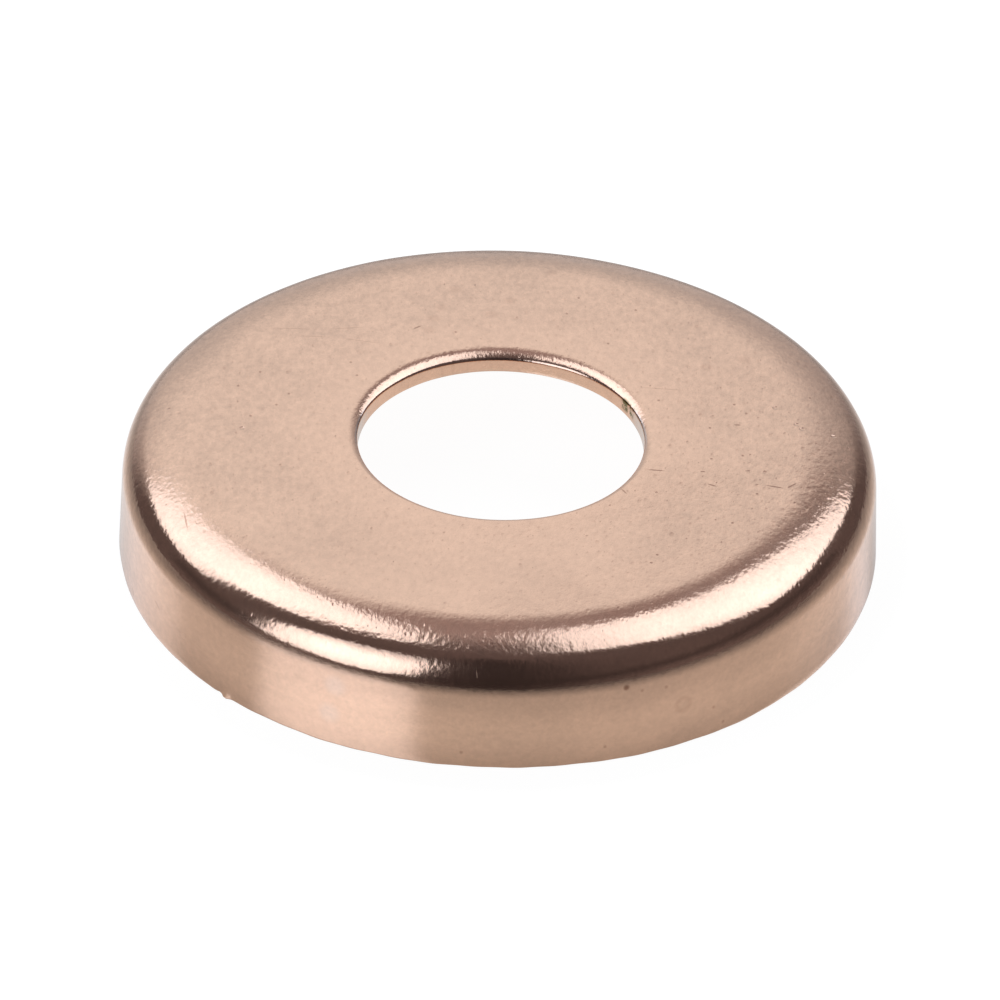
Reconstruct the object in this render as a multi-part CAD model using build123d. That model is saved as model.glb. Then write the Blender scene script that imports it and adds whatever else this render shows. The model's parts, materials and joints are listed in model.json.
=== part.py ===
# Nut cover: a shallow round cup pressed from one sheet of metal, with a punched hole in its crown.
# It stands on the rim of its skirt. The origin is the centre of that rim, and +Z points up through the hole.
from build123d import *
import os
from math import atan2, cos, degrees, radians, sin, tan

# Driving dimensions, in millimetres and degrees
rim_diameter = 28.0          # outside of the skirt, at the rim that it stands on
cover_height = 4.5           # from the rim to the flat of the crown
sheet_thickness = 0.7        # the same all over, as drawn from one blank
hole_diameter = 10.4         # clears a tube of 10 mm
hole_roll_run = 0.45         # how far out the punch has drawn the hole's top edge down
hole_roll_drop = 0.12        # how far down that edge is drawn
inner_crown_radius = 5.6     # inside radius of the gentle fall around the flat
crown_sweep = 18.0           # angle that the fall turns through
inner_corner_radius = 0.7    # inside radius where the crown turns into the skirt
skirt_lean = 3.6             # flare of the skirt towards its rim
rim_edge_bevel = 0.12        # bevel of the rim's outer edge, left by the trimming die

# Sizes that follow: the outer surface is the inner one plus the sheet
rim_radius = rim_diameter / 2
hole_radius = hole_diameter / 2
crown_radius = inner_crown_radius + sheet_thickness
corner_radius = inner_corner_radius + sheet_thickness
underside_height = cover_height - sheet_thickness
corner_turn = 90 - crown_sweep - skirt_lean
lean_tangent = tan(radians(skirt_lean))
lean_cosine = cos(radians(skirt_lean))

# Height of the corner's centre, then its radius from where the skirt meets the corner
corner_centre_height = (
    cover_height
    - crown_radius * (1 - cos(radians(crown_sweep)))
    - corner_radius * cos(radians(crown_sweep))
)
skirt_top_height = corner_centre_height + corner_radius * sin(radians(skirt_lean))
skirt_top_radius = rim_radius - skirt_top_height * lean_tangent
corner_centre_radius = skirt_top_radius - corner_radius * lean_cosine
corner_centre = (corner_centre_radius, corner_centre_height)

# The crown's fall is tangent to the corner and to the flat, so the flat ends above its centre
flat_radius = corner_centre_radius - (crown_radius - corner_radius) * sin(radians(crown_sweep))
crown_centre = (flat_radius, cover_height - crown_radius)

# The hole's drawn-down edge is an arc, tangent to the flat, that falls by the drop over the run
roll_radius = (hole_roll_run**2 + hole_roll_drop**2) / (2 * hole_roll_drop)
roll_turn = degrees(2 * atan2(hole_roll_drop, hole_roll_run))
roll_centre = (hole_radius + hole_roll_run, cover_height - roll_radius)


def pressed_section():
    # Half of the cover's section: radius along X and height along Z
    with BuildSketch(Plane.XZ) as section:
        with BuildLine():
            rim = Line((rim_radius - sheet_thickness / lean_cosine, 0), (rim_radius, 0))
            Line(rim @ 1, (skirt_top_radius, skirt_top_height))
            CenterArc(corner_centre, corner_radius, skirt_lean, corner_turn)
            crown = CenterArc(crown_centre, crown_radius, 90 - crown_sweep, crown_sweep)
            Line(crown @ 1, (hole_radius + hole_roll_run, cover_height))
            roll = CenterArc(roll_centre, roll_radius, 90, roll_turn)
            hole_wall = Line(roll @ 1, (hole_radius, underside_height))
            Line(hole_wall @ 1, (flat_radius, underside_height))
            CenterArc(crown_centre, inner_crown_radius, 90, -crown_sweep)
            inner_corner = CenterArc(corner_centre, inner_corner_radius, 90 - crown_sweep, -corner_turn)
            Line(inner_corner @ 1, rim @ 0)
        make_face()
        outer_rim_corner = section.vertices().group_by(Axis.Y)[0].sort_by(Axis.X)[-1]
        chamfer(outer_rim_corner, length=rim_edge_bevel)
    return section.sketch


def nut_cover():
    # The drawn cup is the section turned once round the hole's axis
    return revolve(pressed_section(), axis=Axis.Z)


os.makedirs("parts", exist_ok=True)
export_step(nut_cover(), "parts/nut_cover.step")
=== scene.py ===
import bpy
import json
import numpy as np
from mathutils import Matrix, Vector


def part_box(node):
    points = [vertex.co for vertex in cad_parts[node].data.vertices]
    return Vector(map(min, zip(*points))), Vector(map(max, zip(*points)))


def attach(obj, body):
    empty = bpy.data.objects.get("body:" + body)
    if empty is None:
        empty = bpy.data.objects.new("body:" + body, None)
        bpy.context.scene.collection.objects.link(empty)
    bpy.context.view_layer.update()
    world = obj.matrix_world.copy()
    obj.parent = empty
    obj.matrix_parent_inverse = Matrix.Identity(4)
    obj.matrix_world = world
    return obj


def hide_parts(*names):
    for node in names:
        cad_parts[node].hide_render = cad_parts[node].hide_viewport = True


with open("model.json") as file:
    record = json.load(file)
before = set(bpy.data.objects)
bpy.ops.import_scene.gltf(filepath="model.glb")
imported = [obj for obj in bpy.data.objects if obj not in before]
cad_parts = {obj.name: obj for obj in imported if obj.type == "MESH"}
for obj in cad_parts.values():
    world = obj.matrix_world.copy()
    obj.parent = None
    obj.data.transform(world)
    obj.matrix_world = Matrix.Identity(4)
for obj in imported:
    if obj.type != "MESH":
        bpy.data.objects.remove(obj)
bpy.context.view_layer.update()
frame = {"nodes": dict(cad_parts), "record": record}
mounts = {mount["name"]: mount for mount in frame["record"]["mounts"]}
mm = 0.001
print("frame loaded:", sorted(frame["nodes"]))


def hexToLinear(code):
    # sRGB hex to linear: a straight foot below 0.04045, the 2.4 power above it
    srgb = np.array([int(code[i:i + 2], 16) for i in (1, 3, 5)]) / 255
    linear = np.where(srgb <= 0.04045, srgb / 12.92, ((srgb + 0.055) / 1.055) ** 2.4)
    return (*linear.tolist(), 1.0)


def addNode(tree, kind, inputs=None, **settings):
    # one node: its settings, then each input either linked from a socket or set to a value
    node = tree.nodes.new(kind)
    for name, value in settings.items():
        setattr(node, name, value)
    for name, value in (inputs or {}).items():
        if isinstance(value, bpy.types.NodeSocket):
            tree.links.new(value, node.inputs[name])
        else:
            node.inputs[name].default_value = value
    return node


def newMaterial(name):
    material = bpy.data.materials.new(name)
    material.use_nodes = True
    material.node_tree.nodes.clear()
    return material, material.node_tree


def gridMesh(name, points, closedRows=False, closedColumns=False):
    # points is rows by columns by 3 in millimetres; a closed direction joins its last line to its first
    rows, columns = points.shape[:2]
    row = np.arange(rows if closedRows else rows - 1)[:, None]
    column = np.arange(columns if closedColumns else columns - 1)[None, :]
    nextRow = (row + 1) % rows
    nextColumn = (column + 1) % columns
    corners = (row * columns + column, row * columns + nextColumn,
               nextRow * columns + nextColumn, nextRow * columns + column)
    quads = np.stack(np.broadcast_arrays(*corners), -1).reshape(-1, 4)
    mesh = bpy.data.meshes.new(name)
    mesh.vertices.add(rows * columns)
    mesh.vertices.foreach_set("co", (points.reshape(-1, 3) * mm).astype(np.float32).ravel())
    mesh.loops.add(quads.size)
    mesh.loops.foreach_set("vertex_index", quads.astype(np.int32).ravel())
    mesh.polygons.add(len(quads))
    mesh.polygons.foreach_set("loop_start", np.arange(0, quads.size, 4, dtype=np.int32))
    mesh.polygons.foreach_set("use_smooth", np.ones(len(quads), dtype=bool))
    mesh.update(calc_edges=True)
    mesh.validate()
    piece = bpy.data.objects.new(name, mesh)
    bpy.context.scene.collection.objects.link(piece)
    return piece


# the pressed cover, in millimetres and degrees; the frame gives its overall sizes
cover = {
    "crownRadius": 6.3,      # gentle fall around the flat
    "crownSweep": 18.0,
    "cornerRadius": 1.4,     # turn into the skirt
    "skirtLean": 3.6,
    "rimRounding": 0.12,     # outer edge of the rim
    "innerRimRounding": 0.05,
    "rollRun": 0.70,         # the hole's edge, drawn down by the punch, at the back where it is widest
    "rollTurn": 22.0,        # slope that the roll reaches there before it breaks into the wall
    "rollBreak": 0.13,       # radius of that break
    "rollFront": 0.20,       # how much of the roll is left at the front
    "rollPowers": (1.2, 2),  # how soon its run and its drop are lost on the way there
    "rollStretch": 3,        # the flat gives way as far out as this many runs
    "burrLip": 0.01,         # lip that the punch left under the hole
    "burrFoot": 0.20,        # how far out it begins
    "burrRounding": 0.03,
    "holeGrown": 0.04,       # added to the hole's radius all round
    "holeShift": (0.02, -0.09),  # where it was punched: right of the axis and behind it
    "holeFade": 1.5,         # how far out both die away over the crown
    "around": 680,           # steps round the axis
    # rows of waves round the axis: height, how many there are, and where they start in radians
    "oval": ((-0.012, 2, 0.0), (-0.030, 4, 0.0), (0.014, 3, -1.1), (0.006, 7, 2.0)),
    "ripple": ((0.004, 17, 0.4), (0.003, 29, -0.8)),
    "trim": ((0.010, 23, 1.0), (0.008, 61, -0.5)),
    "trimReach": 0.10,       # how far up the trimmed edge is uneven
    # rows of waves over the crown: height, radians for each millimetre right and back, and start
    "crownWaves": ((0.0045, 0.9, 0.35, 0.5), (0.0035, 0.4, -1.1, 1.9), (0.0020, 1.9, 1.3, -0.6)),
    "nickAngle": -43.0,      # on the rim, from the front towards the right
    "nickReach": 0.16,       # how far up it goes
    "nickBurr": (0.11, 0.10, 0.16),   # metal pushed outwards: how far, where along the rim, half width
    "nickBite": (0.06, -0.20, 0.15),  # metal taken upwards, in the same order
}


def arc(centre, radius, start, end, count):
    # points on a circle from one angle to another, the last left to the next stretch
    turn = np.radians(np.linspace(start, end, count, endpoint=False))
    return np.stack([centre[0] + radius * np.cos(turn), centre[1] + radius * np.sin(turn)], -1)


def straight(start, end, count):
    return np.linspace(start, end, count, endpoint=False)


def coverSection(sizes):
    # closed section of the sheet: radius and height, anticlockwise from the rim's outer edge
    low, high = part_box("nut_cover")
    height = high.z / mm
    hole = mounts["tube_hole"]["dims"]["r_mm"]
    sheet = (mounts["crown_face"]["pos_m"][2] - mounts["crown_underside"]["pos_m"][2]) / mm
    lean = np.radians(sizes["skirtLean"])
    sweep = np.radians(sizes["crownSweep"])
    rim = (high.x - low.x) / 2 / mm + sizes["rimRounding"] * np.tan(lean)
    # the corner's centre stands where both the crown's fall and the skirt are tangent to it
    cornerZ = height - sizes["crownRadius"] * (1 - np.cos(sweep)) - sizes["cornerRadius"] * np.cos(sweep)
    skirtTopZ = cornerZ + sizes["cornerRadius"] * np.sin(lean)
    skirtTopR = rim - skirtTopZ * np.tan(lean)
    cornerR = skirtTopR - sizes["cornerRadius"] * np.cos(lean)
    flatR = cornerR - (sizes["crownRadius"] - sizes["cornerRadius"]) * np.sin(sweep)
    corner = (cornerR, cornerZ)
    crown = (flatR, height - sizes["crownRadius"])
    cornerEnd = 90 - sizes["crownSweep"]
    # roundings of the rim: each centre is its radius above the floor and in from its wall
    inner = rim - sheet / np.cos(lean)
    outerEdge = sizes["rimRounding"]
    innerEdge = sizes["innerRimRounding"]
    outerRim = (rim - outerEdge * np.tan(lean) - outerEdge / np.cos(lean), outerEdge)
    innerRim = (inner - innerEdge * np.tan(lean) + innerEdge / np.cos(lean), innerEdge)
    skirtFoot = (outerRim[0] + outerEdge * np.cos(lean), outerEdge * (1 + np.sin(lean)))
    innerFoot = (innerRim[0] - innerEdge * np.cos(lean), innerEdge * (1 - np.sin(lean)))
    # the hole's roll falls along a wide arc, then breaks into the wall
    slope = np.radians(sizes["rollTurn"])
    rollRadius = (sizes["rollRun"] - sizes["rollBreak"] * (1 - np.sin(slope))) / np.sin(slope)
    roll = (hole + sizes["rollRun"], height - rollRadius)
    breakR = hole + sizes["rollBreak"]
    breakZ = height - rollRadius * (1 - np.cos(slope)) - sizes["rollBreak"] * np.cos(slope)
    under = height - sheet
    lip = under - sizes["burrLip"]
    burr = (hole + sizes["burrRounding"], lip + sizes["burrRounding"])
    burrFoot = (hole + sizes["burrFoot"], under)
    innerCornerTop = cornerR + (sizes["cornerRadius"] - sheet) * np.cos(lean)
    stretches = (
        arc(outerRim, outerEdge, -90, sizes["skirtLean"], 5),
        straight(skirtFoot, (skirtTopR, skirtTopZ), 14),
        arc(corner, sizes["cornerRadius"], sizes["skirtLean"], cornerEnd, 24),
        arc(crown, sizes["crownRadius"], cornerEnd, 90, 16),
        straight((flatR, height), (roll[0], height), 20),
        arc(roll, rollRadius, 90, 90 + sizes["rollTurn"], 8),
        arc((breakR, breakZ), sizes["rollBreak"], 90 + sizes["rollTurn"], 180, 8),
        straight((hole, breakZ), (hole, burr[1]), 4),
        arc(burr, sizes["burrRounding"], 180, 270, 3),
        straight((burr[0], lip), burrFoot, 2),
        straight(burrFoot, (flatR, under), 14),
        arc(crown, sizes["crownRadius"] - sheet, 90, cornerEnd, 8),
        arc(corner, sizes["cornerRadius"] - sheet, cornerEnd, sizes["skirtLean"], 10),
        straight((innerCornerTop, cornerZ + (sizes["cornerRadius"] - sheet) * np.sin(lean)), innerFoot, 8),
        arc(innerRim, innerEdge, 180 + sizes["skirtLean"], 270, 3),
    )
    return np.concatenate(stretches), height - breakZ, sheet


def roundWaves(rows, turn, base=0):
    # sum of cosines round the axis, each raised by the base before its height scales it
    return sum(height * (base + np.cos(count * turn + start)) for height, count, start in rows)


def band(value, centre, half):
    # bell curve: 1 at the centre, dying away over the half width
    return np.exp(-(((value - centre) / half) ** 2))


def pressedCover(sizes):
    # the section turned round the axis, then the small faults of a real pressing added as shifts in space
    section, rollDepth, sheet = coverSection(sizes)
    height = section[:, 1].max()
    hole = section[:, 0].min()
    turn = np.linspace(0, 2 * np.pi, sizes["around"], endpoint=False)[None, :]
    radius = np.repeat(section[:, :1], sizes["around"], 1)
    z = np.repeat(section[:, 1:], sizes["around"], 1)
    # hole: the roll shrinks from back to front, its run sooner than its drop, so it is steepest
    # at the sides; the flat and the wall beside it stretch to meet it
    back = (1 - np.cos(turn)) / 2
    lostRun = (1 - sizes["rollFront"]) * (1 - back ** sizes["rollPowers"][0])
    lostDrop = (1 - sizes["rollFront"]) * (1 - back) ** sizes["rollPowers"][1]
    outward = (radius - hole) / sizes["rollRun"]
    stretch = sizes["rollStretch"]
    fallen = (height - z) / rollDepth
    wallEnd = sheet / rollDepth
    risen = np.clip(np.minimum(fallen, (wallEnd - fallen) / (wallEnd - 1)), 0, None) * (outward < stretch)
    pulled = np.clip(np.minimum(outward, (stretch - outward) / (stretch - 1)), 0, None)
    radius = radius - sizes["rollRun"] * lostRun * pulled
    z = z + rollDepth * lostDrop * risen
    x = radius * np.sin(turn)
    y = -radius * np.cos(turn)
    # skirt: slightly out of round, most at the free rim
    free = np.clip(1 - z / height, 0, 1)
    out = (roundWaves(sizes["oval"], turn) + roundWaves(sizes["ripple"], turn)) * free
    # crown: long low waves, millionths of a metre high
    waves = sum(rise * np.cos(perX * x + perY * y + start) for rise, perX, perY, start in sizes["crownWaves"])
    lift = waves * np.clip(z / height * 2 - 1, 0, 1)
    # nick on the rim: a small bite, and beside it a burr pushed outwards
    along = radius * ((turn - np.radians(sizes["nickAngle"]) + np.pi) % (2 * np.pi) - np.pi)
    foot = band(z, 0, sizes["nickReach"])
    out = out + sizes["nickBurr"][0] * band(along, *sizes["nickBurr"][1:]) * foot
    lift = lift + sizes["nickBite"][0] * band(along, *sizes["nickBite"][1:]) * foot
    # trimmed rim: uneven by a few hundredths
    lift = lift + roundWaves(sizes["trim"], turn, 1) * band(z, 0, sizes["trimReach"])
    # hole: wider and off centre, and both die away over the crown
    aside = band(radius, hole, sizes["holeFade"])
    grown = 1 + (out + sizes["holeGrown"] * aside) / np.maximum(radius, 1)
    x = x * grown + sizes["holeShift"][0] * aside
    y = y * grown + sizes["holeShift"][1] * aside
    return gridMesh("pressedCover", np.stack([x, y, z + lift], -1), True, True)


shell = pressedCover(cover)
print("pressed cover:", len(shell.data.polygons) * 2, "triangles")


# copper plate on drawn steel, barrel polished: a clear warm mirror, mottled on the crown by the sheet's grain
# and dimples, and smoother down the skirt where the die has drawn it
plate = {
    "copper": "#f8cbac",
    "deepCopperAndPitShade": "#8a5942",     # copper of scratches and dots, and painted shade in the pits
    "stain": "#c9a78f",
    "bareSteel": "#e2d9d0",      # where the punch scraped the hole's wall, and in smears on the skirt
    "deposit": "#77704a",        # greenish dirt in the hole
    "rolled": 1.6,               # the grain is this much longer front to back, as on rolled sheet
    "grain": 0.12,               # mm, size of the sheet's grain
    "grainHeight": 0.0036,       # mm, trough to crest
    "grainSides": (1.75, 1.75),  # strength of grain and blotches at the far left and the far right
    "grainFront": 0.55,          # and towards the front, where they are worn
    "peel": 0.28,                # mm, orange peel where the sheet was stretched: corner and hole's edge
    "peelHeight": 0.0058,
    "peelRoll": 0.3,             # share of it on the hole's edge
    "drawn": (2.8, 3.3),         # mm above the floor, where the grain fades towards the skirt
    "skirtGrain": 0.26,          # share of the grain that is left there
    "mottle": 0.24,              # mm, coarsest of the small blotches
    "mottleShare": (0.22, 0.32),   # beside the hole and further out
    "cloud": 3.5,                # mm, duller areas
    "cloudShare": 0.24,
    "streak": (5.0, 0.8),        # mm along and up the skirt, marks of the die
    "streakShare": 0.16,
    "wallBare": (0.15, 0.85),    # bare share of the hole's wall, plain and where it was scraped
    "burnished": (5.8, 9.0),     # mm from the axis, clean inside and duller outside
    "skirtRadius": 13.75,
    # the pits' dark shares are painted shade in their bowls, laid into the plate's colour
    "pits": ({"spacing": 0.30, "radius": 0.090, "depth": 0.0032, "dark": 0.10},
             {"spacing": 1.25, "radius": 0.100, "depth": 0.006, "dark": 0.18}),
    "pitLeast": 0.25,            # smallest pit, as a share of the radius
    "pitFloor": 0.2,             # share of a pit that is level
    "roughness": (0.10, 0.16),
    "roughRange": (0.3, 0.7),    # of the clouds' noise, over which the roughness grows
    "cloudRange": (0.3, 0.75),   # of the clouds' noise, over which the plate dulls
    "mottleRange": (0.3, 0.7),
    "streakRange": (0.4, 0.7),
    "streakSlant": 6,            # degrees
    "grainSpread": 12.0,         # mm left and right of the axis, where grainSides hold
    "wornFront": (-9.0, -4.0),   # mm behind the axis, where the wear ends
    "cornerStart": (10.6, 11.8),  # mm from the axis, where the corner's peel begins
    "rollEdge": (6.00, 5.75),    # mm from the hole's centre, where its drawn-down edge begins
    "rollBehind": (-1.0, 2.0),   # mm behind the axis, over which that edge takes up peel
    "wallEdge": (5.36, 5.27),    # mm from the hole's centre, where its wall begins
    "smearBare": 0.15,           # bare share of the smears
    "dirtFoot": (3.90, 4.05),    # mm above the floor, where the dirt begins
    "dirtPatches": (0.42, 0.50),  # of the blotches' noise, over which it sets in
}

# marks on the crown, in millimetres right of the axis and behind it; a streak adds its half length
# and its turn
crownMarks = {
    "dots": {"half": 0.07, "dark": 0.42, "depth": 0.003, "places": (
        (8.83, -1.01), (9.28, -3.40), (8.35, -5.23), (5.66, -3.45), (5.64, -7.26), (5.43, -7.75),
        (7.68, -1.27), (8.60, 2.28), (9.03, 1.72), (7.67, 0.72), (5.81, 2.42), (11.42, 2.92), (3.96, 6.14),
        (5.01, 8.47), (2.40, 8.11), (2.85, 9.21), (-1.77, 6.66), (-5.64, 4.46), (-5.38, 3.61),
        (-7.84, 2.27), (-8.26, 1.54), (-9.73, 2.71), (-8.97, 3.65), (-9.17, 0.78), (-12.20, 1.37))},
    "scratches": {"half": 0.04, "dark": 0.5, "depth": 0.003, "places": (
        (5.66, -2.07, 0.41, -5), (7.35, -2.08, 0.12, -5), (7.67, -2.92, 0.23, -24), (8.98, -1.95, 0.12, 17),
        (9.93, -2.91, 0.42, -14), (10.55, -2.81, 0.29, 44), (4.49, -3.42, 0.27, -57), (8.68, 0.96, 0.16, -3),
        (-3.23, 6.92, 0.27, 38), (-11.12, -5.61, 0.68, -79))},
    "hairlines": {"half": 0.03, "dark": 0.25, "depth": 0.0, "places": (
        (-7.11, 6.14, 0.78, -1), (-5.30, 5.92, 1.06, -11), (-7.86, 6.64, 1.09, 0), (-5.85, 6.77, 0.93, 8),
        (6.04, 3.19, 1.15, -4))},
    "smudges": {"half": 0.34, "dark": 0.10, "depth": 0.0, "places": (
        (-1.87, 9.62), (-0.43, 7.95), (0.23, 8.92), (1.80, 10.98), (-2.37, 8.35), (-2.65, 7.58),
        (-2.78, 6.75), (9.02, 5.28), (7.63, 4.72))},
    "dents": {"half": 0.12, "dark": 0.0, "depth": 0.012, "places": (
        (10.10, 2.14), (11.03, 0.80), (10.84, 1.08), (12.19, 0.55), (-9.43, -0.02))},
}

# marks on the skirt, in millimetres along it from the front to the right, and above the floor
skirtMarks = {
    "spot": {"half": 0.15, "dark": 0.7, "depth": 0.0, "places": ((4.63, 3.00),)},
    "specks": {"half": 0.09, "dark": 0.3, "depth": 0.0, "places": (
        (5.21, 2.75), (6.12, 2.66), (8.02, 1.17), (8.42, 0.40), (3.89, 0.67), (-1.08, 0.66))},
    "ring": {"half": 0.42, "dark": 0.34, "depth": 0.0, "places": ((6.79, 1.73),)},
    "ringMiddle": {"half": 0.32, "dark": -0.34, "depth": 0.0, "places": ((6.79, 1.73),)},
    "scratches": {"half": 0.04, "dark": 0.2, "depth": 0.005, "places": (
        (-16.90, 0.46, 0.35, -35), (-14.50, 1.48, 0.30, -20))},
}
paleMarks = {
    "smears": {"half": 0.55, "places": ((-5.64, 2.51), (-5.83, 1.32))},
    "scrapedWall": {"half": 1.75, "places": ((5.26, 0.80), (-5.60, 0.40))},
    "deposit": {"half": 0.36, "places": ((4.82, 2.14), (4.60, 2.50))},
}

markHeart = 0.3   # share of a mark's half width that is at full strength


def markMask(tree, position, mark):
    # 1 in the heart of a mark and 0 past its edge; distances are in half widths, and the nearest mark counts
    half = mark["half"]
    scaled = addNode(tree, "ShaderNodeVectorMath", {0: position, "Scale": 1 / half},
                     operation="SCALE").outputs[0]
    least = None
    for across, along, *run in mark["places"]:
        if run:
            local = addNode(tree, "ShaderNodeMapping",
                            {"Vector": position, "Location": (across, along, 0),
                             "Rotation": (0, 0, np.radians(run[1])), "Scale": (run[0], half, 1)},
                            vector_type="TEXTURE")
            away = addNode(tree, "ShaderNodeVectorMath", {0: local.outputs[0]}, operation="LENGTH")
        else:
            away = addNode(tree, "ShaderNodeVectorMath", {0: scaled, 1: (across / half, along / half, 0)},
                           operation="DISTANCE")
        away = away.outputs["Value"]
        if least is not None:
            away = addNode(tree, "ShaderNodeMath", {0: least, 1: away}, operation="MINIMUM").outputs[0]
        least = away
    mask = addNode(tree, "ShaderNodeMapRange", {"Value": least, "From Min": 1.0, "From Max": markHeart},
                   interpolation_type="SMOOTHSTEP")
    return mask.outputs[0]


def copperPlate(look):
    material, tree = newMaterial("copper plate, drawn and barrel polished")
    place = addNode(tree, "ShaderNodeTexCoord").outputs["Object"]
    inMm = addNode(tree, "ShaderNodeVectorMath", {0: place, "Scale": 1 / mm}, operation="SCALE").outputs[0]
    parts = addNode(tree, "ShaderNodeSeparateXYZ", {0: inMm})
    # plan: seen from above; unrolled: along the skirt from the front to the right, then height
    plan = addNode(tree, "ShaderNodeVectorMath", {0: inMm, 1: (1, 1, 0)}, operation="MULTIPLY").outputs[0]
    rolled = addNode(tree, "ShaderNodeVectorMath", {0: inMm, 1: (1, 1 / look["rolled"], 1)},
                     operation="MULTIPLY").outputs[0]
    radius = addNode(tree, "ShaderNodeVectorMath", {0: plan}, operation="LENGTH").outputs["Value"]
    front = addNode(tree, "ShaderNodeMath", {0: parts.outputs["Y"], 1: -1.0}, operation="MULTIPLY")
    turn = addNode(tree, "ShaderNodeMath", {0: parts.outputs["X"], 1: front.outputs[0]}, operation="ARCTAN2")
    along = addNode(tree, "ShaderNodeMath", {0: turn.outputs[0], 1: look["skirtRadius"]},
                    operation="MULTIPLY")
    unrolled = addNode(tree, "ShaderNodeCombineXYZ",
                       {"X": along.outputs[0], "Y": parts.outputs["Z"]}).outputs[0]
    # grain: full on the crown, weaker on the skirt
    drawn = {"Value": parts.outputs["Z"], "From Min": look["drawn"][0], "From Max": look["drawn"][1]}
    onCrown = addNode(tree, "ShaderNodeMapRange", drawn, interpolation_type="SMOOTHSTEP").outputs[0]
    ease = addNode(tree, "ShaderNodeMapRange", {"Value": onCrown, "To Min": look["skirtGrain"]}).outputs[0]
    sides = addNode(tree, "ShaderNodeMapRange",
                    {"Value": parts.outputs["X"],
                     "From Min": -look["grainSpread"], "From Max": look["grainSpread"],
                     "To Min": look["grainSides"][0], "To Max": look["grainSides"][1]})
    fromHole = addNode(tree, "ShaderNodeVectorMath", {0: plan, 1: (*cover["holeShift"], 0)},
                       operation="DISTANCE").outputs["Value"]
    behind = addNode(tree, "ShaderNodeMapRange",
                     {"Value": parts.outputs["Y"],
                      "From Min": look["rollBehind"][0], "From Max": look["rollBehind"][1]})
    onRoll = addNode(tree, "ShaderNodeMapRange",
                     {"Value": fromHole, "From Min": look["rollEdge"][0], "From Max": look["rollEdge"][1],
                      "To Max": behind.outputs[0]}).outputs[0]
    worn = addNode(tree, "ShaderNodeMapRange",
                   {"Value": parts.outputs["Y"],
                    "From Min": look["wornFront"][0], "From Max": look["wornFront"][1],
                    "To Min": look["grainFront"]})
    sides = addNode(tree, "ShaderNodeMath", {0: sides.outputs[0], 1: worn.outputs[0]}, operation="MULTIPLY")
    ease = addNode(tree, "ShaderNodeMath", {0: ease, 1: sides.outputs[0]}, operation="MULTIPLY").outputs[0]
    grain = addNode(tree, "ShaderNodeTexNoise",
                    {"Vector": rolled, "Scale": 1 / look["grain"], "Detail": 2.0, "Roughness": 0.5})
    height = addNode(tree, "ShaderNodeMath", {0: grain.outputs["Fac"], 1: look["grainHeight"]},
                     operation="MULTIPLY")
    height = addNode(tree, "ShaderNodeMath", {0: height.outputs[0], 1: ease}, operation="MULTIPLY").outputs[0]
    # peel: coarser, on the corner and the hole's edge
    onCorner = addNode(tree, "ShaderNodeMapRange",
                       {"Value": radius,
                        "From Min": look["cornerStart"][0], "From Max": look["cornerStart"][1],
                        "To Max": onCrown}, interpolation_type="SMOOTHSTEP")
    stretched = addNode(tree, "ShaderNodeMath", {0: onRoll, 1: look["peelRoll"], 2: onCorner.outputs[0]},
                        operation="MULTIPLY_ADD")
    stretched = addNode(tree, "ShaderNodeMath", {0: stretched.outputs[0], 1: look["peelHeight"]},
                        operation="MULTIPLY")
    peel = addNode(tree, "ShaderNodeTexNoise", {"Vector": inMm, "Scale": 1 / look["peel"], "Detail": 1.0})
    height = addNode(tree, "ShaderNodeMath", {0: peel.outputs["Fac"], 1: stretched.outputs[0], 2: height},
                     operation="MULTIPLY_ADD").outputs[0]
    # pits: a bowl round each scattered point, its size and depth drawn by lot; each pit's dark share also
    # paints shade into the plate's colour in its bowl
    pitted = addNode(tree, "ShaderNodeMath", {0: onCrown, 1: worn.outputs[0]},
                     operation="MULTIPLY").outputs[0]
    dark = 0.0
    for pit in look["pits"]:
        share = pit["radius"] / pit["spacing"]
        cells = addNode(tree, "ShaderNodeTexVoronoi", {"Vector": rolled, "Scale": 1 / pit["spacing"]},
                        voronoi_dimensions="2D")
        lots = addNode(tree, "ShaderNodeSeparateColor", {0: cells.outputs["Color"]})
        reach = addNode(tree, "ShaderNodeMath", {0: lots.outputs[0], 1: share, 2: look["pitLeast"] * share},
                        operation="MULTIPLY_ADD")
        depth = addNode(tree, "ShaderNodeMath", {0: cells.outputs["Distance"], 1: reach.outputs[0]},
                        operation="DIVIDE")
        hollow = addNode(tree, "ShaderNodeMapRange",
                         {"Value": depth.outputs[0], "From Min": 1.0, "From Max": look["pitFloor"],
                          "To Max": lots.outputs[1]},
                         interpolation_type="SMOOTHSTEP")
        hollow = addNode(tree, "ShaderNodeMath", {0: hollow.outputs[0], 1: pitted}, operation="MULTIPLY")
        height = addNode(tree, "ShaderNodeMath", {0: hollow.outputs[0], 1: -pit["depth"], 2: height},
                         operation="MULTIPLY_ADD").outputs[0]
        # painted shade in the pit, added to the darkening
        dark = addNode(tree, "ShaderNodeMath", {0: hollow.outputs[0], 1: pit["dark"], 2: dark},
                       operation="MULTIPLY_ADD").outputs[0]
    # marks: each kind darkens the plate, and some also dent it
    for group, position in ((crownMarks, plan), (skirtMarks, unrolled)):
        for mark in group.values():
            mask = markMask(tree, position, mark)
            dark = addNode(tree, "ShaderNodeMath", {0: mask, 1: mark["dark"], 2: dark},
                           operation="MULTIPLY_ADD").outputs[0]
            if mark["depth"]:
                height = addNode(tree, "ShaderNodeMath", {0: mask, 1: -mark["depth"], 2: height},
                                 operation="MULTIPLY_ADD").outputs[0]
    bump = addNode(tree, "ShaderNodeBump", {"Strength": 1.0, "Distance": mm, "Height": height})
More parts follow.
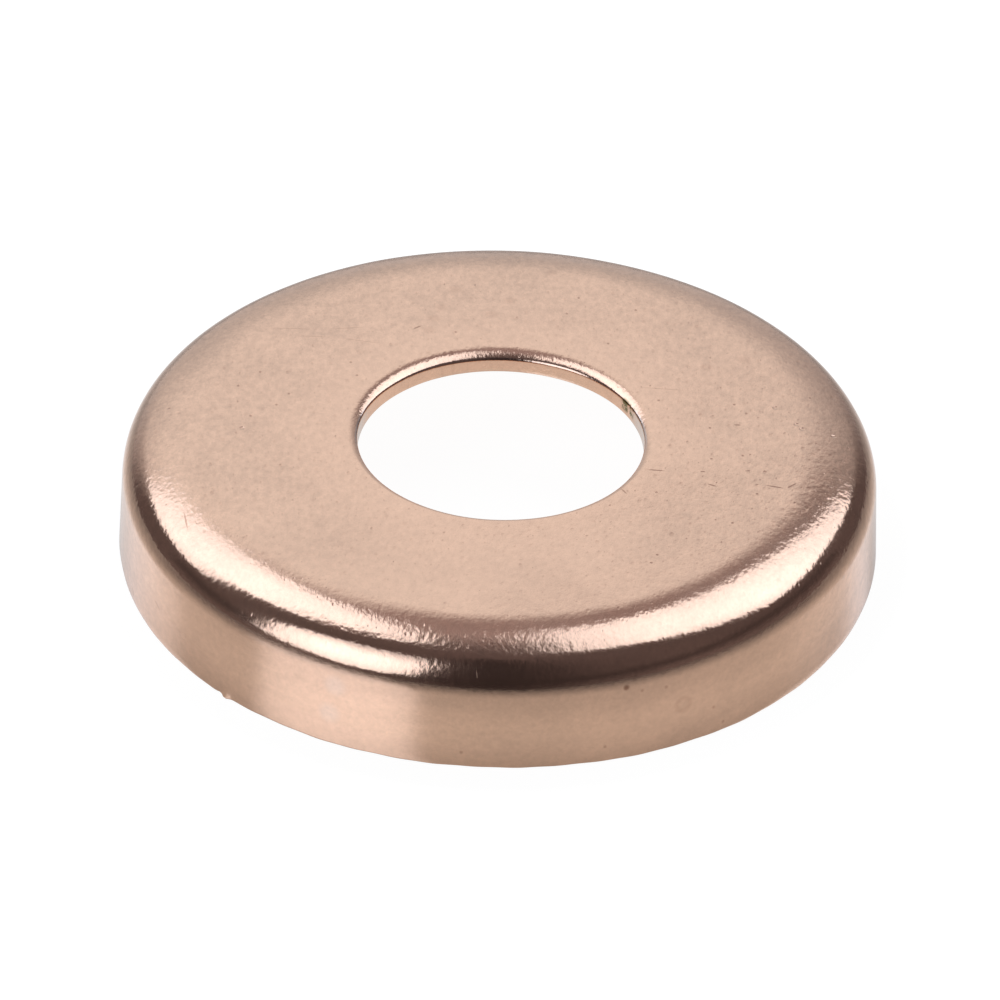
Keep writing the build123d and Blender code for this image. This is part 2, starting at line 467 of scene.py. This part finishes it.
    # tone: duller areas away from the hole, and small blotches everywhere
    cloud = addNode(tree, "ShaderNodeTexNoise",
                    {"Vector": inMm, "Scale": 1 / look["cloud"],
                     "Detail": 3.0, "Roughness": 0.6}).outputs["Fac"]
    mottle = addNode(tree, "ShaderNodeTexNoise",
                     {"Vector": rolled, "Scale": 1 / look["mottle"],
                      "Detail": 3.0, "Roughness": 0.8}).outputs["Fac"]
    outer = addNode(tree, "ShaderNodeMapRange",
                    {"Value": radius, "From Min": look["burnished"][0], "From Max": look["burnished"][1],
                     "To Max": look["cloudShare"]}, interpolation_type="SMOOTHSTEP")
    dull = addNode(tree, "ShaderNodeMapRange",
                   {"Value": cloud, "From Min": look["cloudRange"][0], "From Max": look["cloudRange"][1],
                    "To Max": outer.outputs[0]})
    blotches = addNode(tree, "ShaderNodeMapRange",
                       {"Value": radius, "From Min": look["burnished"][0], "From Max": look["burnished"][1],
                        "To Min": look["mottleShare"][0], "To Max": look["mottleShare"][1]})
    blotches = addNode(tree, "ShaderNodeMath", {0: blotches.outputs[0], 1: sides.outputs[0]},
                       operation="MULTIPLY")
    blotch = addNode(tree, "ShaderNodeMapRange",
                     {"Value": mottle, "From Min": look["mottleRange"][0], "From Max": look["mottleRange"][1],
                      "To Max": blotches.outputs[0]})
    tone = addNode(tree, "ShaderNodeMath", {0: dull.outputs[0], 1: blotch.outputs[0]}, operation="ADD")
    # streaks along the skirt, a little aslant
    slant = addNode(tree, "ShaderNodeMapping",
                    {"Vector": unrolled, "Rotation": (0, 0, np.radians(look["streakSlant"])),
                     "Scale": (*look["streak"], 1)},
                    vector_type="TEXTURE")
    streak = addNode(tree, "ShaderNodeTexNoise", {"Vector": slant.outputs[0], "Scale": 1.0, "Detail": 2.0})
    below = addNode(tree, "ShaderNodeMapRange",
                    {"Value": onCrown, "To Min": look["streakShare"], "To Max": 0.0})
    streak = addNode(tree, "ShaderNodeMapRange",
                     {"Value": streak.outputs["Fac"], "From Min": look["streakRange"][0],
                      "From Max": look["streakRange"][1], "To Max": below.outputs[0]})
    tone = addNode(tree, "ShaderNodeMath", {0: tone.outputs[0], 1: streak.outputs[0]}, operation="ADD")
    colour = addNode(tree, "ShaderNodeMix",
                     {0: tone.outputs[0], 6: hexToLinear(look["copper"]), 7: hexToLinear(look["stain"])},
                     data_type="RGBA").outputs[2]
    # the plate darkened towards deep copper by the marks and by the painted shade in the pits
    colour = addNode(tree, "ShaderNodeMix", {0: dark, 6: colour, 7: hexToLinear(look["deepCopperAndPitShade"])},
                     data_type="RGBA").outputs[2]
    # bare and dirty places: smears on the skirt, and the hole's wall, most at its right and left ends
    inHole = addNode(tree, "ShaderNodeMapRange",
                     {"Value": fromHole,
                      "From Min": look["wallEdge"][0], "From Max": look["wallEdge"][1]}).outputs[0]
    smear = addNode(tree, "ShaderNodeMath",
                    {0: markMask(tree, unrolled, paleMarks["smears"]), 1: look["smearBare"]},
                    operation="MULTIPLY")
    scraped = addNode(tree, "ShaderNodeMapRange",
                      {"Value": markMask(tree, plan, paleMarks["scrapedWall"]),
                       "To Min": look["wallBare"][0], "To Max": look["wallBare"][1]})
    scraped = addNode(tree, "ShaderNodeMath", {0: scraped.outputs[0], 1: inHole}, operation="MULTIPLY")
    bare = addNode(tree, "ShaderNodeMath", {0: smear.outputs[0], 1: scraped.outputs[0]}, operation="MAXIMUM")
    colour = addNode(tree, "ShaderNodeMix",
                     {0: bare.outputs[0], 6: colour, 7: hexToLinear(look["bareSteel"])},
                     data_type="RGBA").outputs[2]
    upper = addNode(tree, "ShaderNodeMapRange",
                    {"Value": parts.outputs["Z"],
                     "From Min": look["dirtFoot"][0], "From Max": look["dirtFoot"][1],
                     "To Max": inHole})
    patchy = addNode(tree, "ShaderNodeMapRange",
                     {"Value": mottle, "From Min": look["dirtPatches"][0], "From Max": look["dirtPatches"][1],
                      "To Max": upper.outputs[0]})
    dirt = addNode(tree, "ShaderNodeMath",
                   {0: markMask(tree, plan, paleMarks["deposit"]), 1: patchy.outputs[0]},
                   operation="MULTIPLY")
    colour = addNode(tree, "ShaderNodeMix", {0: dirt.outputs[0], 6: colour, 7: hexToLinear(look["deposit"])},
                     data_type="RGBA").outputs[2]
    rough = addNode(tree, "ShaderNodeMapRange",
                    {"Value": cloud, "From Min": look["roughRange"][0], "From Max": look["roughRange"][1],
                     "To Min": look["roughness"][0], "To Max": look["roughness"][1]})
    shader = addNode(tree, "ShaderNodeBsdfPrincipled",
                     {"Base Color": colour, "Metallic": 1.0, "Roughness": rough.outputs[0],
                      "Normal": bump.outputs["Normal"]})
    addNode(tree, "ShaderNodeOutputMaterial", {"Surface": shader.outputs[0]})
    return material


shell.data.materials.append(copperPlate(plate))
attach(shell, "root")
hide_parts("nut_cover")
print("copper plate on the cover")


# studio: azimuth 0 lies straight beyond the cover as the camera sees it, +90 to its right
studio = {
    "floor": "#cfcac0",
    "floorWhite": 0.86,        # share of plain white that the camera sees in the floor beside the cover
    "shadowReach": (15, 19),   # mm from the axis over which that share grows to all of it
    "floorGlow": 0.78,         # the same share for mirror rays, close to the cover
    "paintedContactShadowGlow": 0.50,       # less right beside the rim: a painted contact shadow
    "holeGlow": 0.80,          # and more under its hole: painted light there
    "paintedLightPoolReach": 17.0,         # mm from the axis, past which that share falls with the cube of the distance, so the mirrored floor holds a painted pool of light round the cover
    "floorMirror": (0.40, 0.72),   # share that the board's polish mirrors, beside the cover and far off
    "mirrorReach": (16, 50),
    "mirrorBack": 0.55,        # what is left of it behind the cover, where the board is duller
    "mirrorFade": (-4, 8),     # mm behind the axis over which it falls to that
    "polish": 0.19,            # roughness of the board's polish
    "whiteStrength": 1.12,
    "holeReach": (5.0, 14.0),  # mm from the axis, from holeGlow to paintedContactShadowGlow
    "contactReach": 15.8,      # mm from the axis, where the painted contact shadow has risen to floorGlow
    "glowPower": 3.0,
    "floorReach": 750,
    "floorDrop": 0.01,         # mm below the rim, so that the two don't touch
    "roomRadius": 700,
    "roomLevel": 0.11,
    "cameraSide": 0.035,       # the room behind the camera
    "roomTint": "#fdeefb",
    "horizon": 0.03,           # extra light low in the room
    "horizonBand": (3, 5),     # degrees up, and half width
    "lowDip": (0.4, 19, 7),    # share lost low in the room, degrees up, and half width
    "sideDip": (0.1, 95, 14),  # share lost to the sides, degrees round, and half width
    "behindWidth": 32,         # degrees
    "roomFoot": -2,            # degrees, a little below the floor
    "roomTop": 89.9,
    "roomGrid": (24, 72),
    # world, for diffuse rays and for camera or mirror rays; the room hides it from all but the camera
    "worldLevel": (0.25, 1.0),
    "backdrop": {
        "left": -75, "right": 65, "top": 75, "distance": 560, "level": 1.05, "above": 0.31, "tint": "#ecf4ff",
        "grid": (90, 78),
        "leftFade": (-54, -20),      # degrees round, over which the paper sets in
        "rightFade": (0, 44),        # and over which it ends
        "paperShares": (0.66, 0.34),   # of its light at the foot, and what height adds
        "paperRise": (12, 37),       # degrees up, over which that is added
        "roomRise": (58, 72),        # degrees up, from the light above the paper to the room's
        "topEdge": (43, 0.4),        # degrees up straight ahead, and fall for each degree to the right
        "topRange": (-8, 30),        # degrees round between which it falls
        "topBlur": 6,
    },
    # softboxes: the azimuths of their left and right edges at several elevations
    "boxDistance": 400,
    "boxStrength": {"leftBox": 2.28, "rightBox": 2.33, "frontBox": 2.38},
    "boxFade": {"leftBox": 0.0, "rightBox": 0.1, "frontBox": 0.55},   # loss of light towards their tops
    "boxFadeRange": (46, 72),    # degrees up, over which that sets in
    "boxShares": (0.70, 0.30),   # of their light at the edges, and what the middle adds
    "boxGrid": (17, 25),
    "boxTint": "#dfebff",
    "softboxes": {
        "leftBox": ((28, -57, -40), (30, -64, -37), (31.5, -72, -35.5), (34, -75, -32), (40, -74.5, -23.5),
                    (46, -69.5, -16.5), (52, -61.5, -12), (58, -50, -12), (63, -38, -12), (67, -29, -14.5),
                    (70, -23, -16.5)),
        "rightBox": ((28, 39, 44), (31, 35, 46), (34.3, 30, 57), (35.3, 29, 84), (42, 25, 85.5),
                     (50, 15.5, 85), (54, 9.7, 85.5), (58, 3.6, 85.5), (62, 3.8, 81.5), (66, 7.5, 71),
                     (71, 16, 63), (74, 25, 54)),
        "frontBox": ((10, -142, -118), (12, -149, -118), (14.5, -154.5, -110), (21, -157, -111),
                     (30, -158, -109.5), (42, -159, -105), (54, -157, -101), (60, -155, -103),
                     (66, -149, -110), (70, -142, -120)),
    },
}


def direction(azimuth, elevation):
    around, upward = np.broadcast_arrays(np.radians(azimuth), np.radians(elevation))
    level = np.cos(upward)
    return np.stack([level * np.sin(around), level * np.cos(around), np.sin(upward)], -1)


def smoothRise(low, high, value):
    share = np.clip((value - low) / (high - low), 0, 1)
    return share * share * (3 - 2 * share)


def tinted(level, tint):
    return level[..., None] * np.array(hexToLinear(tint))


def glowing(piece, light):
    # a sheet that gives off light by its own glow attribute, one colour at each point;
    # the camera looks past it
    glow = piece.data.attributes.new("glow", "FLOAT_COLOR", "POINT")
    glow.data.foreach_set("color", light.astype(np.float32).ravel())
    material, tree = newMaterial(piece.name + " glow")
    colour = addNode(tree, "ShaderNodeAttribute", attribute_name="glow")
    light = addNode(tree, "ShaderNodeEmission", {"Color": colour.outputs["Color"]})
    addNode(tree, "ShaderNodeOutputMaterial", {"Surface": light.outputs[0]})
    piece.data.materials.append(material)
    piece.visible_camera = False


def softbox(name, rows, setting):
    # a cloth stretched between its edges, a little brighter in the middle where its lamp stands
    heights, left, right = np.array(rows, dtype=float).T
    across = np.linspace(0, 1, setting["boxGrid"][0])[None, :]
    upward = np.linspace(0, 1, setting["boxGrid"][1])[:, None]
    elevation = heights[0] + upward * (heights[-1] - heights[0]) + 0 * across
    leftEdge = np.interp(elevation, heights, left)
    azimuth = leftEdge + across * (np.interp(elevation, heights, right) - leftEdge)
    edge, middle = setting["boxShares"]
    level = edge + middle * 16 * across * (1 - across) * upward * (1 - upward)   # 16 makes the peak 1
    level = setting["boxStrength"][name] * level
    level = level * (1 - setting["boxFade"][name] * smoothRise(*setting["boxFadeRange"], elevation))
    box = gridMesh(name, setting["boxDistance"] * direction(azimuth, elevation))
    glowing(box, tinted(level, setting["boxTint"]))


def backdropSheet(setting):
    # part of a ball beyond the cover; its light grows with height, drops at the paper's top edge
    # and fades sideways
    paperSheet = setting["backdrop"]
    sideways = np.linspace(paperSheet["left"], paperSheet["right"], paperSheet["grid"][0])
    up = np.linspace(setting["roomFoot"], paperSheet["top"], paperSheet["grid"][1])
    azimuth, elevation = np.meshgrid(sideways, up, indexing="ij")
    sides = smoothRise(*paperSheet["leftFade"], azimuth) * (1 - smoothRise(*paperSheet["rightFade"], azimuth))
    footShare, riseShare = paperSheet["paperShares"]
    paper = paperSheet["level"] * (footShare + riseShare * smoothRise(*paperSheet["paperRise"], elevation))
    toRoom = smoothRise(*paperSheet["roomRise"], elevation)
    above = paperSheet["above"] + (setting["roomLevel"] - paperSheet["above"]) * toRoom
    topEdge = paperSheet["topEdge"][0] - paperSheet["topEdge"][1] * np.clip(azimuth, *paperSheet["topRange"])
    onPaper = sides * (1 - smoothRise(-paperSheet["topBlur"], paperSheet["topBlur"], elevation - topEdge))
    room = setting["roomLevel"] + (above - setting["roomLevel"]) * sides
    light = tinted(paper * onPaper, paperSheet["tint"]) + tinted(room * (1 - onPaper), setting["roomTint"])
    glowing(gridMesh("backdrop", paperSheet["distance"] * direction(azimuth, elevation)), light)


def darkRoom(setting):
    # half a ball around the set: the unlit studio that the plate mirrors between the softboxes
    up = np.linspace(setting["roomFoot"], setting["roomTop"], setting["roomGrid"][0])
    sideways = np.linspace(-180, 180, setting["roomGrid"][1], endpoint=False)
    elevation, azimuth = np.meshgrid(up, sideways, indexing="ij")
    behind = band(np.abs(azimuth), 180, setting["behindWidth"])
    level = setting["roomLevel"] * (1 - setting["lowDip"][0] * band(elevation, *setting["lowDip"][1:]))
    level = level * (1 - setting["sideDip"][0] * band(np.abs(azimuth), *setting["sideDip"][1:]))
    level = level + setting["horizon"] * band(elevation, *setting["horizonBand"])
    level = level + (setting["cameraSide"] - level) * behind
    light = tinted(level, setting["roomTint"])
    glowing(gridMesh("darkRoom", setting["roomRadius"] * direction(azimuth, elevation), False, True), light)


def paleFloor(setting):
    # polished board; the camera sees most of it as plain white, and mirror rays part of that white, shaped
    # into a painted pool of light round the cover with a painted contact shadow beside the rim
    reach = setting["floorReach"]
    side = np.linspace(-reach, reach, 2)
    y, x = np.meshgrid(side, side, indexing="ij")   # this order turns the board's face up
    floor = gridMesh("floor", np.stack([x, y, 0 * x - setting["floorDrop"]], -1))
    material, tree = newMaterial("pale floor board")
    rays = addNode(tree, "ShaderNodeLightPath")
    mirror = addNode(tree, "ShaderNodeMath",
                     {0: rays.outputs["Is Glossy Ray"], 1: rays.outputs["Is Transmission Ray"]},
                     operation="MAXIMUM")
    place = addNode(tree, "ShaderNodeTexCoord").outputs["Object"]
    away = addNode(tree, "ShaderNodeVectorMath", {0: place, "Scale": 1 / mm}, operation="SCALE")
    away = addNode(tree, "ShaderNodeVectorMath", {0: away.outputs[0]}, operation="LENGTH").outputs["Value"]
    plain = addNode(tree, "ShaderNodeMapRange",
                    {"Value": away,
                     "From Min": setting["shadowReach"][0], "From Max": setting["shadowReach"][1],
                     "To Min": setting["floorWhite"], "To Max": 1.0})
    # what mirror rays see of the white: painted light under the hole and round the cover, painted shade
    # beside the rim, fading with distance
    inHole = addNode(tree, "ShaderNodeMapRange",
                     {"Value": away, "From Min": setting["holeReach"][0], "From Max": setting["holeReach"][1],
                      "To Min": setting["holeGlow"], "To Max": setting["paintedContactShadowGlow"]})
    beside = addNode(tree, "ShaderNodeMapRange",
                     {"Value": away, "From Min": setting["holeReach"][1], "From Max": setting["contactReach"],
                      "To Min": inHole.outputs[0], "To Max": setting["floorGlow"]})
    dying = addNode(tree, "ShaderNodeMath", {0: setting["paintedLightPoolReach"], 1: away}, operation="DIVIDE")
    dying = addNode(tree, "ShaderNodeMath", {0: dying.outputs[0], 1: 1.0}, operation="MINIMUM")
    dying = addNode(tree, "ShaderNodeMath", {0: dying.outputs[0], 1: setting["glowPower"]}, operation="POWER")
    dying = addNode(tree, "ShaderNodeMath", {0: dying.outputs[0], 1: beside.outputs[0]}, operation="MULTIPLY")
    dim = addNode(tree, "ShaderNodeMath", {0: mirror.outputs[0], 1: dying.outputs[0]}, operation="MULTIPLY")
    share = addNode(tree, "ShaderNodeMath",
                    {0: rays.outputs["Is Camera Ray"], 1: plain.outputs[0], 2: dim.outputs[0]},
                    operation="MULTIPLY_ADD")
    paint = addNode(tree, "ShaderNodeBsdfDiffuse", {"Color": hexToLinear(setting["floor"])})
    white = addNode(tree, "ShaderNodeEmission", {"Strength": setting["whiteStrength"]})
    board = addNode(tree, "ShaderNodeMixShader",
                    {0: share.outputs[0], 1: paint.outputs[0], 2: white.outputs[0]})
    polish = addNode(tree, "ShaderNodeBsdfAnisotropic", {"Roughness": setting["polish"]})
    shine = addNode(tree, "ShaderNodeMapRange",
                    {"Value": away,
                     "From Min": setting["mirrorReach"][0], "From Max": setting["mirrorReach"][1],
                     "To Min": setting["floorMirror"][0], "To Max": setting["floorMirror"][1]})
    depth = addNode(tree, "ShaderNodeSeparateXYZ", {0: place}).outputs["Y"]
    duller = addNode(tree, "ShaderNodeMapRange",
                     {"Value": depth,
                      "From Min": setting["mirrorFade"][0] * mm, "From Max": setting["mirrorFade"][1] * mm,
                      "To Min": 1.0, "To Max": setting["mirrorBack"]})
    shine = addNode(tree, "ShaderNodeMath", {0: shine.outputs[0], 1: duller.outputs[0]}, operation="MULTIPLY")
    shine = addNode(tree, "ShaderNodeMapRange",
                    {"Value": rays.outputs["Is Camera Ray"], "To Min": shine.outputs[0], "To Max": 0.0})
    mixed = addNode(tree, "ShaderNodeMixShader",
                    {0: shine.outputs[0], 1: board.outputs[0], 2: polish.outputs[0]})
    addNode(tree, "ShaderNodeOutputMaterial", {"Surface": mixed.outputs[0]})
    floor.data.materials.append(material)


def whiteWorld(setting):
    world = bpy.data.worlds.new("white surround")
    world.use_nodes = True
    tree = world.node_tree
    tree.nodes.clear()
    rays = addNode(tree, "ShaderNodeLightPath")
    seen = addNode(tree, "ShaderNodeMath",
                   {0: rays.outputs["Is Camera Ray"], 1: rays.outputs["Is Glossy Ray"]}, operation="MAXIMUM")
    seen = addNode(tree, "ShaderNodeMath",
                   {0: seen.outputs[0], 1: rays.outputs["Is Transmission Ray"]}, operation="MAXIMUM")
    level = addNode(tree, "ShaderNodeMapRange",
                    {"Value": seen.outputs[0],
                     "To Min": setting["worldLevel"][0], "To Max": setting["worldLevel"][1]})
    back = addNode(tree, "ShaderNodeBackground", {"Strength": level.outputs[0]})
    addNode(tree, "ShaderNodeOutputWorld", {"Surface": back.outputs[0]})
    bpy.context.scene.world = world


paleFloor(studio)
darkRoom(studio)
backdropSheet(studio)
for boxName, boxRows in studio["softboxes"].items():
    softbox(boxName, boxRows, studio)
whiteWorld(studio)
print("studio set")


# camera, from the ellipses of the rim and the hole in the photograph; millimetres and degrees
viewer = {
    "distance": 182.0,
    "elevation": 35.83,
    "roll": 1.415,
    "aim": (0.04, 0.74, 1.02),
    "lens": 176.90,
    "sensor": 36.0,
    "clip": (0.01, 5.0),       # metres
}


def placeCamera(view):
    camera = bpy.data.cameras.new("camera")
    camera.lens = view["lens"]
    camera.sensor_width = view["sensor"]
    camera.clip_start, camera.clip_end = view["clip"]
    eye = Vector((-view["distance"] * direction(0, -view["elevation"]) * mm).tolist())
    ahead = (Vector(view["aim"]) * mm - eye).normalized()
    level = ahead.cross(Vector((0, 0, 1))).normalized()
    rise = level.cross(ahead)
    turn = np.radians(view["roll"])
    right = np.cos(turn) * level + np.sin(turn) * rise
    up = np.cos(turn) * rise - np.sin(turn) * level
    holder = bpy.data.objects.new("camera", camera)
    holder.matrix_world = Matrix.Translation(eye) @ Matrix((right, up, -ahead)).transposed().to_4x4()
    bpy.context.scene.collection.objects.link(holder)
    bpy.context.scene.camera = holder


placeCamera(viewer)
bpy.context.scene.view_settings.view_transform = "Standard"
print("camera placed")
